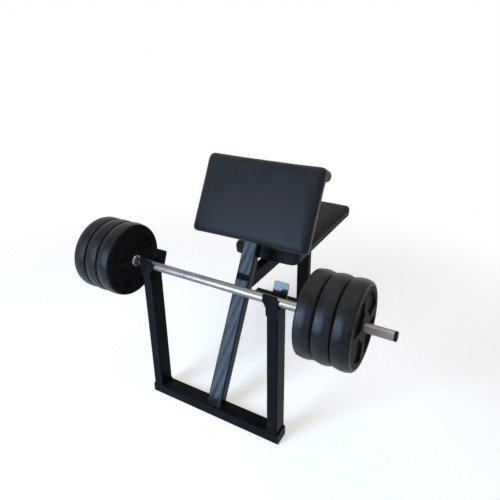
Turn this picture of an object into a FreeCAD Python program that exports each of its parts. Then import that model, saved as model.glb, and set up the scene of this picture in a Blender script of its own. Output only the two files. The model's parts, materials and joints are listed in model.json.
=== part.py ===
import FreeCAD, Part
import math
import os
import Sketcher
from FreeCAD import Placement, Rotation, Vector
from types import SimpleNamespace

# Preacher curl bench: a welded frame of rectangular tube, an arm pad with a rolled top edge,
# a long seat, two bar rests, and the loaded bar that lies in them.
# X runs to the right along the bar, Y to the back, Z up. The origin is on the floor,
# under the middle of the front base tube.

SIZES = (
    ("tube_wide", 60, "frame tube, wide side"),
    ("tube_slim", 40, "frame tube, narrow side"),
    ("tube_wall", 2, "frame tube, wall"),
    ("tube_corner", 5, "frame tube, outer corner radius"),
    ("cut_overrun", 5, "how far cuts run past what they cut"),
    ("cap_flange", 5, "end cap, part outside the tube"),
    ("cap_plug", 22, "end cap, part inside the tube"),
    ("cap_clearance", 0.2, "end cap plug to the tube's inner wall"),
    ("upright_spacing", 512, "uprights, centre to centre"),
    ("upright_height", 515, "upright tube, length"),
    ("saddle_thick", 5, "saddle plate on the upright's end"),
    ("rest_plate", 5, "lip and guide plates, thickness"),
    ("rest_width", 52, "lip and guide plates, width"),
    ("rest_tongue", 28, "lip and guide plates, overlap on the upright"),
    ("lip_rise", 42, "lip plate above the saddle"),
    ("lip_taper", 22, "lip plate, height over which it widens"),
    ("lip_corner", 6, "lip and guide plates, radius of the top corners"),
    ("guide_lean", 21, "guide plate, angle back from the vertical"),
    ("guide_length", 53, "guide plate, length of the leaning part"),
    ("guide_bend", 6, "guide plate, radius of the bend"),
    ("post_lean", 28, "centre post, angle back from the vertical"),
    ("post_setback", 11, "centre post, front edge behind the base's front face"),
    ("post_cap_gap", 25.5, "centre post's cap to the arm pad's rolled edge"),
    ("rear_spacing", 800, "front base to rear foot, centre to centre"),
    ("rear_foot_length", 552, "rear foot tube, length"),
    ("beam_height", 418, "floor to the underside of the seat beam"),
    ("seat_overhang", 88, "seat's rear edge behind the end of the beam's tube"),
    ("strap_thick", 5, "pad straps, thickness"),
    ("strap_width", 40, "pad straps, width"),
    ("strap_corner", 4, "pad straps, corners cut off"),
    ("board_thick", 15, "pad boards, thickness"),
    ("board_rim", 8, "foam and cover beside the boards"),
    ("board_clearance", 0.3, "boards to the cushions round them"),
    ("arm_pad_start", 634.5, "post's foot to the arm pad's lower edge, along the post"),
    ("arm_pad_length", 318, "arm pad, along the post"),
    ("arm_pad_width", 494, "arm pad, across"),
    ("arm_pad_thick", 44, "arm pad, board's back to the front's edges"),
    ("arm_pad_crown", 4, "arm pad, crown of the front"),
    ("arm_pad_edge", 14, "arm pad, rounding of the ends"),
    ("arm_pad_draw", 3, "arm pad, how far the long edges are drawn in at the middle"),
    ("arm_front_round", 15, "arm pad, rounding of the lower front edge"),
    ("arm_top_round", 24, "arm pad, rounding of the upper front edge"),
    ("arm_roll_depth", 46, "arm pad, rolled top edge behind the board"),
    ("arm_roll_height", 37, "arm pad, rolled top edge along the post"),
    ("arm_strap_length", 300, "arm pad straps, length"),
    ("arm_strap_first", 55, "arm pad's lower edge to the first strap's centre"),
    ("arm_strap_last", 56, "last strap's centre to the arm pad's rolled edge"),
    ("arm_bolt_spacing", 240, "arm pad bolts, across"),
    ("seat_front", 380, "front base's centre to the seat's front edge"),
    ("seat_length", 658, "seat, length"),
    ("seat_width", 296, "seat, width"),
    ("seat_thick", 43, "seat, board's underside to the top's edges"),
    ("seat_crown", 5, "seat, crown of the top"),
    ("seat_edge", 13, "seat, rounding of the top's edges"),
    ("seat_corner", 34, "seat, corner radius seen from above"),
    ("seat_draw", 3, "seat, how far the sides are drawn in at the middle"),
    ("seat_tuck", 2, "seat, how far the underside's edge is drawn in"),
    ("seat_strap_length", 200, "seat straps, length"),
    ("seat_strap_first", 80, "seat's front edge to the first strap's centre"),
    ("seat_strap_last", 138, "last strap's centre to the seat's rear edge"),
    ("seat_bolt_spacing", 150, "seat bolts, across"),
    ("bolt_radius", 4, "pad bolts, shank"),
    ("bolt_reach", 17, "pad bolts, length under the head"),
    ("bolt_head", 5.5, "pad bolts, height of the head"),
    ("bolt_head_width", 13, "pad bolts, across the flats of the head"),
    ("bolt_hole_clearance", 0.5, "pad bolts to the strap holes"),
    ("bolt_thread_clearance", 0.1, "pad bolts to the board holes"),
    ("bar_radius", 15, "bar"),
    ("bar_wall", 3, "bar, wall of the tube"),
    ("bar_length", 1226, "bar, over the end plugs"),
    ("bar_shift", 24, "bar's middle to the right of the bench's middle"),
    ("bar_front_gap", 2.4, "bar to the lip plates"),
    ("bar_seat_clearance", 0.3, "bar to the saddle plates"),
    ("bar_plug_flange", 8, "bar plugs, part outside the tube"),
    ("bar_plug_inside", 30, "bar plugs, part inside the tube"),
    ("bar_plug_clearance", 0.1, "bar plugs to the tube's inner wall"),
    ("bar_plug_edge", 2, "bar plugs, bevel of the end"),
    ("collar_place", 338, "bar's centre to the inner face of a collar"),
    ("collar_width", 14, "collars, along the bar"),
    ("collar_radius", 20, "collars, outside"),
    ("collar_clearance", 0.05, "collars to the bar"),
    ("collar_edge", 1.5, "collars, bevel of the edges"),
    ("plate_radius", 136, "weight plates, outside"),
    ("plate_thick", 55.7, "weight plates, thickness at the hub"),
    ("plate_gap", 0.3, "weight plates, from one to the next"),
    ("plate_bore_clearance", 0.5, "weight plates to the bar"),
    ("plate_bevel", 12, "weight plates, bevel of the rim"),
    ("plate_hub_radius", 44, "weight plates, hub"),
    ("plate_recess_radius", 102, "weight plates, outside of the recesses"),
    ("plate_recess", 8, "weight plates, depth of the recesses"),
    ("plate_spoke_angle", 22, "weight plates, angle that a spoke takes up"),
)

PLATE_SPOKES = 4
PLATE_SIDES = 36
RIGHT_ANGLE = 90
FULL_TURN = 360
TOUCH = 1e-3

# Shares, chosen by hand, for the outlines that the cushions are built up from.
EDGE_TURN_SHARES = (0, 0.5, 1)
MIDDLE_SHARES = (-0.55, 0, 0.55)
END_CROWN_SHARE = 0.15
INSET_ROUND_SHARE = 0.5
ROLL_ROUND_SHARE = 0.42

doc = FreeCAD.newDocument("PreacherCurlBench")
sheet = doc.addObject("Spreadsheet::Sheet", "Dims")
for row, (alias, number, meaning) in enumerate(SIZES, start=1):
    sheet.set(f"A{row}", meaning)
    sheet.set(f"B{row}", str(number))
    sheet.setAlias(f"B{row}", alias)
doc.recompute()


class Size:
    """A measure: its value now, and the expression that binds it to the sheet."""

    def __init__(self, value, text):
        self.value = value
        self.text = text

    def __neg__(self):
        return Size(-self.value, f"(-{self.text})")

    def __add__(self, other):
        other = as_size(other)
        return Size(self.value + other.value, f"({self.text} + {other.text})")

    def __sub__(self, other):
        return self + -as_size(other)

    def __rsub__(self, other):
        return as_size(other) - self

    def __mul__(self, other):
        other = as_size(other)
        return Size(self.value * other.value, f"({self.text} * {other.text})")

    def __truediv__(self, other):
        other = as_size(other)
        return Size(self.value / other.value, f"({self.text} / {other.text})")

    __radd__ = __add__
    __rmul__ = __mul__


def as_size(measure):
    return measure if isinstance(measure, Size) else Size(measure, f"({measure})")


def ratio(name, angle):
    """The sin, cos or tan of an angle in degrees."""
    return Size(getattr(math, name)(math.radians(angle.value)), f"{name}({angle.text} * 1 deg)")


d = SimpleNamespace(**{alias: Size(float(getattr(sheet, alias)), f"Dims.{alias}") for alias, _, _ in SIZES})
mm = SimpleNamespace(**{alias: size.value for alias, size in vars(d).items()})
ZERO = as_size(0)
HALF_HEX = as_size(FULL_TURN) / 12
QUARTER = as_size(FULL_TURN) / PLATE_SPOKES
ORIGIN = (ZERO, ZERO, ZERO)
subparts = {}

# Places that several pieces share.
lean_tan = ratio("tan", d.post_lean)
base_end = d.upright_spacing / 2 + d.tube_slim / 2
upright_top = d.tube_slim + d.upright_height
post_front = d.post_setback - d.tube_wide / 2
arm_roll_start = d.arm_pad_start + d.arm_pad_length - d.arm_roll_height
post_length = arm_roll_start - d.post_cap_gap - d.cap_flange
seat_end = d.seat_front + d.seat_length
beam_top = d.beam_height + d.tube_wide
beam_end = seat_end - d.seat_overhang
beam_start = post_front + d.tube_slim / ratio("cos", d.post_lean) + (d.beam_height - d.tube_slim) * lean_tan
bar_y = d.bar_front_gap + d.bar_radius - d.tube_wide / 2
bar_z = upright_top + d.saddle_thick + d.bar_seat_clearance + d.bar_radius
plate_start = d.collar_place + d.collar_width + d.plate_gap
plate_pitch = d.plate_thick + d.plate_gap

# Frames: where a piece's own origin lies, and the axis and angle that it is turned by.
AXIS_X = Vector(1, 0, 0)
AXIS_Y = Vector(0, 1, 0)
AXIS_Z = Vector(0, 0, 1)
SIDES = {"left": -1, "right": 1}


def frame(x=ZERO, y=ZERO, z=ZERO, axis=AXIS_X, angle=ZERO):
    return SimpleNamespace(base=(as_size(x), as_size(y), as_size(z)), axis=axis, angle=as_size(angle))


def along_x(side, x, y, z):
    """A frame whose Z axis points outwards along X, on the side given by 1 or -1."""
    return frame(side * x, y, z, AXIS_Y, side * RIGHT_ANGLE)


# The post's frame has Z up along the post's front face. The pads' frames have Y along the pad
# and Z out of the face that the pad's straps lie on.
post_frame = frame(ZERO, post_front, d.tube_slim, AXIS_X, -d.post_lean)
arm_pad_frame = frame(ZERO, post_front, d.tube_slim, AXIS_X, RIGHT_ANGLE - d.post_lean)
beam_frame = frame(ZERO, ZERO, d.beam_height + d.tube_wide / 2, AXIS_X, -RIGHT_ANGLE)
seat_frame = frame(ZERO, ZERO, beam_top)


def place(piece, where):
    """Puts a piece at a frame, with its base and angle bound to the sheet."""
    base = Vector(*(size.value for size in where.base))
    piece.Placement = Placement(base, Rotation(where.axis, where.angle.value))
    for letter, size in zip("xyz", where.base):
        piece.setExpression(f"Placement.Base.{letter}", size.text)
    piece.setExpression("Placement.Rotation.Angle", f"{where.angle.text} * 1 deg")


def new_body(label, where):
    body = doc.addObject("PartDesign::Body", label)
    place(body, where)
    subparts[label] = body
    return body


def new_form(label, where, shape):
    """A sub-part whose shape is worked out here."""
    piece = doc.addObject("Part::Feature", label)
    piece.Shape = shape
    place(piece, where)
    subparts[label] = piece
    return piece


# Sketches and features.


def sketch_on(body, role, at=ORIGIN):
    """An empty sketch on one of a body's origin planes, moved by an offset in the plane's own axes."""
    sketch = body.newObject("Sketcher::SketchObject", f"{body.Label}_sketch")
    plane = next(feature for feature in body.Origin.OriginFeatures if feature.Role == role)
    sketch.AttachmentSupport = [(plane, "")]
    sketch.MapMode = "FlatFace"
    for letter, size in zip("xyz", at):
        sketch.setExpression(f"AttachmentOffset.Base.{letter}", as_size(size).text)
    return sketch


def dimension(sketch, kind, where, size):
    index = sketch.addConstraint(Sketcher.Constraint(kind, *where, size.value))
    sketch.setExpression(f"Constraints[{index}]", size.text)


def polygon(sketch, points):
    """A closed outline of straight sides, with each corner placed from the sketch's origin."""
    points = [(as_size(x), as_size(y)) for x, y in points]
    first = sketch.GeometryCount
    corners = [Vector(x.value, y.value, 0) for x, y in points]
    for start, end in zip(corners, corners[1:] + corners[:1]):
        sketch.addGeometry(Part.LineSegment(start, end))
    for index, (x, y) in enumerate(points):
        line = first + index
        following = first + (index + 1) % len(points)
        sketch.addConstraint(Sketcher.Constraint("Coincident", line, 2, following, 1))
        dimension(sketch, "DistanceX", (-1, 1, line, 1), x)
        dimension(sketch, "DistanceY", (-1, 1, line, 1), y)


def rounded_rectangle(sketch, width, depth, radius):
    """A rectangle about the sketch's origin, with four round corners."""
    half_x = width.value / 2
    half_y = depth.value / 2
    centre_x = half_x - radius.value
    centre_y = half_y - radius.value
    first = sketch.GeometryCount
    sides = (
        (Vector(-centre_x, -half_y, 0), Vector(centre_x, -half_y, 0)),
        (Vector(half_x, -centre_y, 0), Vector(half_x, centre_y, 0)),
        (Vector(centre_x, half_y, 0), Vector(-centre_x, half_y, 0)),
        (Vector(-half_x, centre_y, 0), Vector(-half_x, -centre_y, 0)),
    )
    for start, end in sides:
        sketch.addGeometry(Part.LineSegment(start, end))
    for index, (sign_x, sign_y) in enumerate(((1, -1), (1, 1), (-1, 1), (-1, -1))):
        circle = Part.Circle(Vector(sign_x * centre_x, sign_y * centre_y, 0), AXIS_Z, radius.value)
        begin = math.radians((index - 1) * RIGHT_ANGLE)
        finish = math.radians(index * RIGHT_ANGLE)
        sketch.addGeometry(Part.ArcOfCircle(circle, begin, finish))
    for index in range(4):
        line = first + index
        arc = line + 4
        sketch.addConstraint(Sketcher.Constraint("Tangent", line, 2, arc, 1))
        sketch.addConstraint(Sketcher.Constraint("Tangent", arc, 2, first + (index + 1) % 4, 1))
        sketch.addConstraint(Sketcher.Constraint("Vertical" if index % 2 else "Horizontal", line))
    for arc in range(first + 4, first + 7):
        sketch.addConstraint(Sketcher.Constraint("Equal", arc, arc + 1))
    sketch.addConstraint(Sketcher.Constraint("Symmetric", first, 1, first + 2, 1, -1, 1))
    dimension(sketch, "DistanceX", (first + 3, 1, first + 1, 1), width)
    dimension(sketch, "DistanceY", (first, 1, first + 2, 1), depth)
    dimension(sketch, "Radius", (first + 4,), radius)


def cut_rectangle(sketch, width, depth, cut):
    """A rectangle about the sketch's origin, with its corners cut off straight."""
    half_x = width / 2
    half_y = depth / 2
    short_x = half_x - cut
    short_y = half_y - cut
    front = ((-short_x, -half_y), (short_x, -half_y), (half_x, -short_y), (half_x, short_y))
    polygon(sketch, front + tuple((-x, -y) for x, y in front))


def circles(sketch, radius, centres=((ZERO, ZERO),)):
    for x, y in centres:
        index = sketch.addGeometry(Part.Circle(Vector(x.value, y.value, 0), AXIS_Z, radius.value))
        dimension(sketch, "Radius", (index,), radius)
        dimension(sketch, "DistanceX", (-1, 1, index, 3), x)
        dimension(sketch, "DistanceY", (-1, 1, index, 3), y)


def sector(sketch, inner, outer, begin, finish):
    """A ring's sector between two radii and two angles from the sketch's X axis."""
    turns = [math.radians(edge.value) for edge in (begin, finish)]
    first = sketch.GeometryCount
    for radius in (inner, outer):
        circle = Part.Circle(Vector(0, 0, 0), AXIS_Z, radius.value)
        sketch.addGeometry(Part.ArcOfCircle(circle, *turns))
    for turn in turns:
        ray = Vector(math.cos(turn), math.sin(turn), 0)
        sketch.addGeometry(Part.LineSegment(ray * inner.value, ray * outer.value))
    for index, radius in enumerate((inner, outer)):
        sketch.addConstraint(Sketcher.Constraint("Coincident", first + index, 3, -1, 1))
        dimension(sketch, "Radius", (first + index,), radius)
    for index, edge in enumerate((begin, finish)):
        line = first + 2 + index
        sketch.addConstraint(Sketcher.Constraint("Coincident", line, 1, first, index + 1))
        sketch.addConstraint(Sketcher.Constraint("Coincident", line, 2, first + 1, index + 1))
        sketch.addConstraint(Sketcher.Constraint("PointOnObject", -1, 1, line))
        turn = sketch.addConstraint(Sketcher.Constraint("Angle", line, math.radians(edge.value)))
        sketch.setExpression(f"Constraints[{turn}]", f"{edge.text} * 1 deg")


def pad(body, sketch, length, side="One side", backwards=False):
    feature = body.newObject("PartDesign::Pad", f"{body.Label}_pad")
    feature.Profile = sketch
    feature.SideType = side
    feature.Reversed = backwards
    feature.setExpression("Length", length.text)
    return feature


def pocket(body, sketch, depth=None, backwards=False):
    """Cuts to a depth, or right through both ways, and makes sure that something was cut."""
    doc.recompute()
    before = body.Shape.Volume
    feature = body.newObject("PartDesign::Pocket", f"{body.Label}_cut")
    feature.Profile = sketch
    feature.Reversed = backwards
    if depth is None:
        feature.Type = "ThroughAll"
        feature.SideType = "Symmetric"
    else:
        feature.setExpression("Length", depth.text)
    doc.recompute()
    if not body.Shape.Volume < before:
        raise RuntimeError(f"{body.Label}: a cut removed nothing")
    return feature


def around(body, feature, axis, count):
    """Repeats a feature round an axis of the body."""
    pattern = body.newObject("PartDesign::PolarPattern", f"{body.Label}_round")
    pattern.Originals = [feature]
    pattern.Axis = axis
    pattern.Angle = FULL_TURN
    pattern.Occurrences = count
    body.Tip = pattern
    return pattern


def dress(kind, body, size, wanted):
    """Rounds or bevels the edges of the body that the test picks."""
    doc.recompute()
    base = body.Tip
    names = [f"Edge{index}" for index, edge in enumerate(base.Shape.Edges, start=1) if wanted(edge)]
    if not names:
        raise RuntimeError(f"{body.Label}: no edge to dress")
    feature = body.newObject(f"PartDesign::{kind}", f"{body.Label}_{kind.lower()}")
    feature.Base = (base, names)
    feature.setExpression("Radius" if kind == "Fillet" else "Size", size.text)
    return feature


def fillet(body, radius, wanted):
    return dress("Fillet", body, radius, wanted)


def bevel(body, size, wanted):
    return dress("Chamfer", body, size, wanted)


def lying_at(**where):
    """A test for edges whose ends all lie at the given coordinates of the body."""

    def test(edge):
        points = [vertex.Point for vertex in edge.Vertexes]
        return all(abs(getattr(p, axis) - size.value) < TOUCH for p in points for axis, size in where.items())

    return test


def with_radius(size):
    """A test for round edges of one radius."""
    return lambda edge: hasattr(edge.Curve, "Radius") and abs(edge.Curve.Radius - size.value) < TOUCH


def level(edge):
    """A test for edges that run square to the body's Z axis."""
    heights = [vertex.Point.z for vertex in edge.Vertexes]
    return max(heights) - min(heights) < TOUCH


def any_of(*tests):
    return lambda edge: any(test(edge) for test in tests)


# Frame tubes and their plastic end caps.


def tube(label, where, size_x, size_y, length, at=ORIGIN, side="One side"):
    """Hollow rectangular tube with round corners, along the Z axis of its frame."""
    body = new_body(label, where)
    section = sketch_on(body, "XY_Plane", at)
    wall = 2 * d.tube_wall
    rounded_rectangle(section, size_x, size_y, d.tube_corner)
    cut_rectangle(section, size_x - wall, size_y - wall, d.tube_corner - d.tube_wall)
    pad(body, section, length, side)
    return body


def end_cap(label, where, size_x, size_y, at=ORIGIN):
    """Plastic cap: a flange as large as the tube and a plug that goes into it."""
    body = new_body(label, where)
    flange = sketch_on(body, "XY_Plane", at)
    rounded_rectangle(flange, size_x, size_y, d.tube_corner)
    pad(body, flange, d.cap_flange)
    plug = sketch_on(body, "XY_Plane", at)
    play = 2 * d.tube_wall + 2 * d.cap_clearance
    cut_rectangle(plug, size_x - play, size_y - play, d.tube_corner - d.tube_wall)
    pad(body, plug, d.cap_plug, backwards=True)


def floor_tubes():
    """Front base and rear foot: cross tubes on the floor, capped at both ends."""
    runs = (("front_base", ZERO, 2 * base_end), ("rear_foot", d.rear_spacing, d.rear_foot_length))
    middle = d.tube_slim / 2
    for name, y, length in runs:
        where = frame(ZERO, y, middle, AXIS_Y, RIGHT_ANGLE)
        tube(f"{name}_tube", where, d.tube_slim, d.tube_wide, length, side="Symmetric")
        for side, sign in SIDES.items():
            end = along_x(sign, length / 2, y, middle)
            end_cap(f"{name}_cap_{side}", end, d.tube_slim, d.tube_wide)


def centre_post():
    """Post that leans back, cut level where it stands on the base, with a cap on its top end."""
    middle = (ZERO, d.tube_slim / 2, ZERO)
    body = tube("centre_post", post_frame, d.tube_wide, d.tube_slim, post_length, middle)
    over = d.cut_overrun
    back = d.tube_slim + over
    cut = sketch_on(body, "YZ_Plane")
    polygon(cut, ((-over, -over * lean_tan), (back, back * lean_tan), (back, -over), (-over, -over)))
    pocket(body, cut)
    top = (ZERO, d.tube_slim / 2, post_length)
    end_cap("centre_post_cap", post_frame, d.tube_wide, d.tube_slim, top)


def seat_beam():
    """Level beam from the post's back face, cut to the post's lean, to its capped rear end."""
    length = beam_end - beam_start
    body = tube("seat_beam", beam_frame, d.tube_slim, d.tube_wide, length, (ZERO, ZERO, beam_start))
    over = d.cut_overrun
    low = d.tube_wide / 2 + over
    low_cut = beam_start - over * lean_tan
    high_cut = beam_start + (d.tube_wide + over) * lean_tan
    before = low_cut - over
    cut = sketch_on(body, "YZ_Plane")
    polygon(cut, ((low, low_cut), (-low, high_cut), (-low, before), (low, before)))
    pocket(body, cut)
    end_cap("seat_beam_cap", beam_frame, d.tube_slim, d.tube_wide, (ZERO, ZERO, beam_end))


def rear_post():
    """Post under the seat beam, from the rear foot up."""
    where = frame(ZERO, d.rear_spacing, d.tube_slim)
    tube("rear_post", where, d.tube_wide, d.tube_slim, d.beam_height - d.tube_slim)


# Uprights and the bar rests on them.


def lip_plate(label, sign, x):
    """Flat plate on the upright's front face, which widens inwards above the tube's end."""
    body = new_body(label, frame(x, -d.tube_wide / 2, upright_top))
    half = d.tube_slim / 2
    inner = half - d.rest_width
    top = d.saddle_thick + d.lip_rise
    tongue = ((-half, ZERO), (-half, -d.rest_tongue), (half, -d.rest_tongue))
    blade = ((half, top), (inner, top), (inner, d.lip_taper))
    sketch = sketch_on(body, "XZ_Plane")
    polygon(sketch, [(sign * px, pz) for px, pz in tongue + blade])
    pad(body, sketch, d.rest_plate)
    fillet(body, d.lip_corner, any_of(lying_at(x=sign * half, z=top), lying_at(x=sign * inner, z=top)))


def guide_plate(label, sign, x):
    """Plate on the upright's back face, bent back above the saddle to lead the bar in."""
    middle = x + sign * (d.tube_slim / 2 - d.rest_width / 2)
    body = new_body(label, frame(middle, d.tube_wide / 2, upright_top))
    thick = d.rest_plate
    reach = d.guide_length * ratio("sin", d.guide_lean)
    rise = d.saddle_thick + d.guide_length * ratio("cos", d.guide_lean)
    back_bend = d.saddle_thick - thick * ratio("tan", d.guide_lean / 2)
    back_top = (reach + thick * ratio("cos", d.guide_lean), rise - thick * ratio("sin", d.guide_lean))
    sketch = sketch_on(body, "YZ_Plane")
    outline = ((ZERO, -d.rest_tongue), (thick, -d.rest_tongue), (thick, back_bend), back_top, (reach, rise))
    polygon(sketch, outline + ((ZERO, d.saddle_thick),))
    pad(body, sketch, d.rest_width, "Symmetric")
    fillet(body, d.guide_bend + thick, lying_at(y=ZERO, z=d.saddle_thick))
    fillet(body, d.guide_bend, lying_at(y=thick, z=back_bend))
    half = d.rest_width / 2
    fillet(body, d.lip_corner, top_corners(half, thick, back_top[1]))


def top_corners(half, thick, height):
    """A test for the short edges across a plate's thickness, at its two top corners."""

    def test(edge):
        points = [vertex.Point for vertex in edge.Vertexes]
        at_side = all(abs(abs(p.x) - half.value) < TOUCH and p.z > height.value - TOUCH for p in points)
        return at_side and abs(edge.Length - thick.value) < TOUCH

    return test


def uprights():
    for side, sign in SIDES.items():
        x = sign * d.upright_spacing / 2
        tube(f"{side}_upright", frame(x, ZERO, d.tube_slim), d.tube_slim, d.tube_wide, d.upright_height)
        saddle = new_body(f"{side}_saddle_plate", frame(x, ZERO, upright_top))
        outline = sketch_on(saddle, "XY_Plane")
        rounded_rectangle(outline, d.tube_slim, d.tube_wide, d.tube_corner)
        pad(saddle, outline, d.saddle_thick)
        lip_plate(f"{side}_lip_plate", sign, x)
        guide_plate(f"{side}_guide_plate", sign, x)


# Straps, boards and bolts, alike for the arm pad and the seat.


def pad_carrier(name, ends, where, rows, strap_length, bolt_spacing, board_start, board_size, cut):
    """Two straps across the post or beam, the board on them, and the bolts that hold it."""
    bolts = [(sign * bolt_spacing / 2, y) for y in rows for sign in SIDES.values()]
    for end, y in zip(ends, rows):
        strap = new_body(f"{name}_{end}_strap", where)
        outline = sketch_on(strap, "XY_Plane", (ZERO, y, ZERO))
        cut_rectangle(outline, strap_length, d.strap_width, d.strap_corner)
        pad(strap, outline, d.strap_thick)
        holes = sketch_on(strap, "XY_Plane", (ZERO, y, ZERO))
        circles(holes, d.bolt_radius + d.bolt_hole_clearance, [(x, ZERO) for x, row in bolts if row is y])
        pocket(strap, holes)
    width, length = board_size
    board = new_body(f"{name}_board", where)
    outline = sketch_on(board, "XY_Plane", (ZERO, board_start + length / 2, d.strap_thick))
    cut_rectangle(outline, width, length, cut)
    pad(board, outline, d.board_thick)
    holes = sketch_on(board, "XY_Plane")
    circles(holes, d.bolt_radius + d.bolt_thread_clearance, bolts)
    pocket(board, holes)
    bolt_group(f"{name}_bolts", where, bolts)


def bolt_group(label, where, places):
    """Hexagon bolts: heads under the straps, shanks through them into the board."""
    body = new_body(label, where)
    heads = sketch_on(body, "XY_Plane")
    half_flats = d.bolt_head_width / 2
    across = half_flats / ratio("cos", HALF_HEX)
    half_side = half_flats * ratio("tan", HALF_HEX)
    upper = ((across, ZERO), (half_side, half_flats), (-half_side, half_flats))
    for x, y in places:
        polygon(heads, [(x + px, y + py) for px, py in upper + tuple((-px, -py) for px, py in upper)])
    pad(body, heads, d.bolt_head, backwards=True)
    shanks = sketch_on(body, "XY_Plane")
    circles(shanks, d.bolt_radius, places)
    pad(body, shanks, d.bolt_reach)


# Cushions: foam and cover over the boards.


def line(start, end):
    return Part.LineSegment(start, end).toShape()


def corner_arc(start, centre, end):
    """The arc from start to end, the short way round a centre."""
    middle = centre + (start + end - centre * 2).normalize() * (start - centre).Length
    return Part.Arc(start, middle, end).toShape()


def board_hollow(start, size, cut):
    """The space in a cushion's underside that its board fills."""
    half_x, half_y = (measure.value / 2 + mm.board_clearance for measure in size)
    middle = start.value + size[1].value / 2
    short_x = half_x - cut.value
    short_y = half_y - cut.value
    near = [(-short_x, -half_y), (short_x, -half_y), (half_x, -short_y), (half_x, short_y)]
    outline = near + [(-x, -y) for x, y in near]
    corners = [Vector(x, middle + y, mm.strap_thick) for x, y in outline]
    face = Part.Face(Part.makePolygon(corners + corners[:1]))
    return face.extrude(Vector(0, 0, mm.board_thick))


def quarter_round(share, radius):
    """How far a rounded edge has moved in and up, at a share of its quarter turn."""
    turn = math.radians(share * RIGHT_ANGLE)
    return radius * (1 - math.cos(turn)), radius * math.sin(turn)


def bow(place, half):
    """How much of a cushion's crown and drawn-in sides shows at a place along it."""
    return 1 - (place / half) ** 2


def crown_at(height, place, half):
    return height * (END_CROWN_SHARE + (1 - END_CROWN_SHARE) * bow(place, half))


def stations(half, radius, middle_shares):
    """Places along a cushion, each with how far the round at its ends has drawn it in."""
    ends = [quarter_round(share, radius) for share in EDGE_TURN_SHARES]
    after = [(half - radius + outward, inward) for inward, outward in ends]
    before = [(-place, inward) for place, inward in reversed(after)]
    return before + [(half * share, 0) for share in middle_shares] + after


def seat_profile(y, half, top, crown):
    """The seat's outline across, from its tucked underside to its crown."""
    base = mm.strap_thick
    soft = mm.seat_edge
    right = (
        Vector(half - mm.seat_tuck, y, base),
        Vector(half, y, top - soft),
        Vector(half - soft, y, top - soft),
        Vector(half - soft, y, top),
    )
    left = [Vector(-point.x, y, point.z) for point in right]
    return Part.Wire(
        [
            line(left[0], right[0]),
            line(right[0], right[1]),
            corner_arc(right[1], right[2], right[3]),
            Part.Arc(right[3], Vector(0, y, top + crown), left[3]).toShape(),
            corner_arc(left[3], left[2], left[1]),
            line(left[1], left[0]),
        ]
    )


def seat_cushion(hollow):
    """Crowned cushion, built up in outlines from front to back, with round corners seen from above."""
    half = mm.seat_length / 2
    profiles = []
    for place, inward in stations(half, mm.seat_corner, MIDDLE_SHARES):
        near_end = max(0, mm.seat_edge - (half - abs(place)))
        drop = mm.seat_edge - math.sqrt(mm.seat_edge**2 - near_end**2)
        width = mm.seat_width / 2 - inward - mm.seat_draw * bow(place, half)
        top = mm.strap_thick + mm.seat_thick - drop
        y = mm.seat_front + half + place
        profiles.append(seat_profile(y, width, top, crown_at(mm.seat_crown, place, half)))
    new_form("seat_cushion", seat_frame, Part.makeLoft(profiles, True, True).cut(hollow))


def arm_pad_profile(x, inset, crown, draw):
    """The arm pad's side outline, with the roll behind its top edge, drawn in all round by an inset."""
    low = mm.arm_pad_start + inset + draw
    high = mm.arm_pad_start + mm.arm_pad_length - inset - draw
    under_roll = mm.arm_pad_start + mm.arm_pad_length - mm.arm_roll_height + inset
    back = mm.strap_thick
    front = back + mm.arm_pad_thick - inset
    roll_back = back - mm.arm_roll_depth + inset
    soft = inset * INSET_ROUND_SHARE
    low_round = mm.arm_front_round - soft
    top_round = mm.arm_top_round - soft
    roll_round = (high - under_roll) * ROLL_ROUND_SHARE

    def at(y, z):
        return Vector(x, y, z)

    foot = at(low, back)
    low_side = at(low, front - low_round)
    low_front = at(low + low_round, front)
    top_front = at(high - top_round, front)
    top_side = at(high, front - top_round)
    roll_top = at(high, roll_back + roll_round)
    roll_high = at(high - roll_round, roll_back)
    roll_low = at(under_roll + roll_round, roll_back)
    roll_under = at(under_roll, roll_back + roll_round)
    roll_root = at(under_roll, back)
    bulge = at((low_front.y + top_front.y) / 2, front + crown)
    return Part.Wire(
        [
            line(foot, low_side),
            corner_arc(low_side, at(low + low_round, front - low_round), low_front),
            Part.Arc(low_front, bulge, top_front).toShape(),
            corner_arc(top_front, at(high - top_round, front - top_round), top_side),
            line(top_side, roll_top),
            corner_arc(roll_top, at(high - roll_round, roll_back + roll_round), roll_high),
            line(roll_high, roll_low),
            corner_arc(roll_low, at(under_roll + roll_round, roll_back + roll_round), roll_under),
            line(roll_under, roll_root),
            line(roll_root, foot),
        ]
    )


def arm_pad_cushion(hollow):
    """Crowned cushion with a rolled top edge, built up in side outlines from end to end."""
    half = mm.arm_pad_width / 2
    profiles = []
    for x, inset in stations(half, mm.arm_pad_edge, MIDDLE_SHARES):
        crown = crown_at(mm.arm_pad_crown, x, half)
        profiles.append(arm_pad_profile(x, inset, crown, mm.arm_pad_draw * bow(x, half)))
    new_form("arm_pad_cushion", arm_pad_frame, Part.makeLoft(profiles, True, True).cut(hollow))


def arm_pad():
    start = d.arm_pad_start + d.board_rim
    size = (d.arm_pad_width - 2 * d.board_rim, d.arm_pad_length - d.arm_roll_height - 2 * d.board_rim)
    cut = d.arm_pad_edge - d.board_rim
    rows = (d.arm_pad_start + d.arm_strap_first, arm_roll_start - d.arm_strap_last)
    across = (d.arm_strap_length, d.arm_bolt_spacing)
    pad_carrier("arm_pad", ("lower", "upper"), arm_pad_frame, rows, *across, start, size, cut)
    arm_pad_cushion(board_hollow(start, size, cut))


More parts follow.
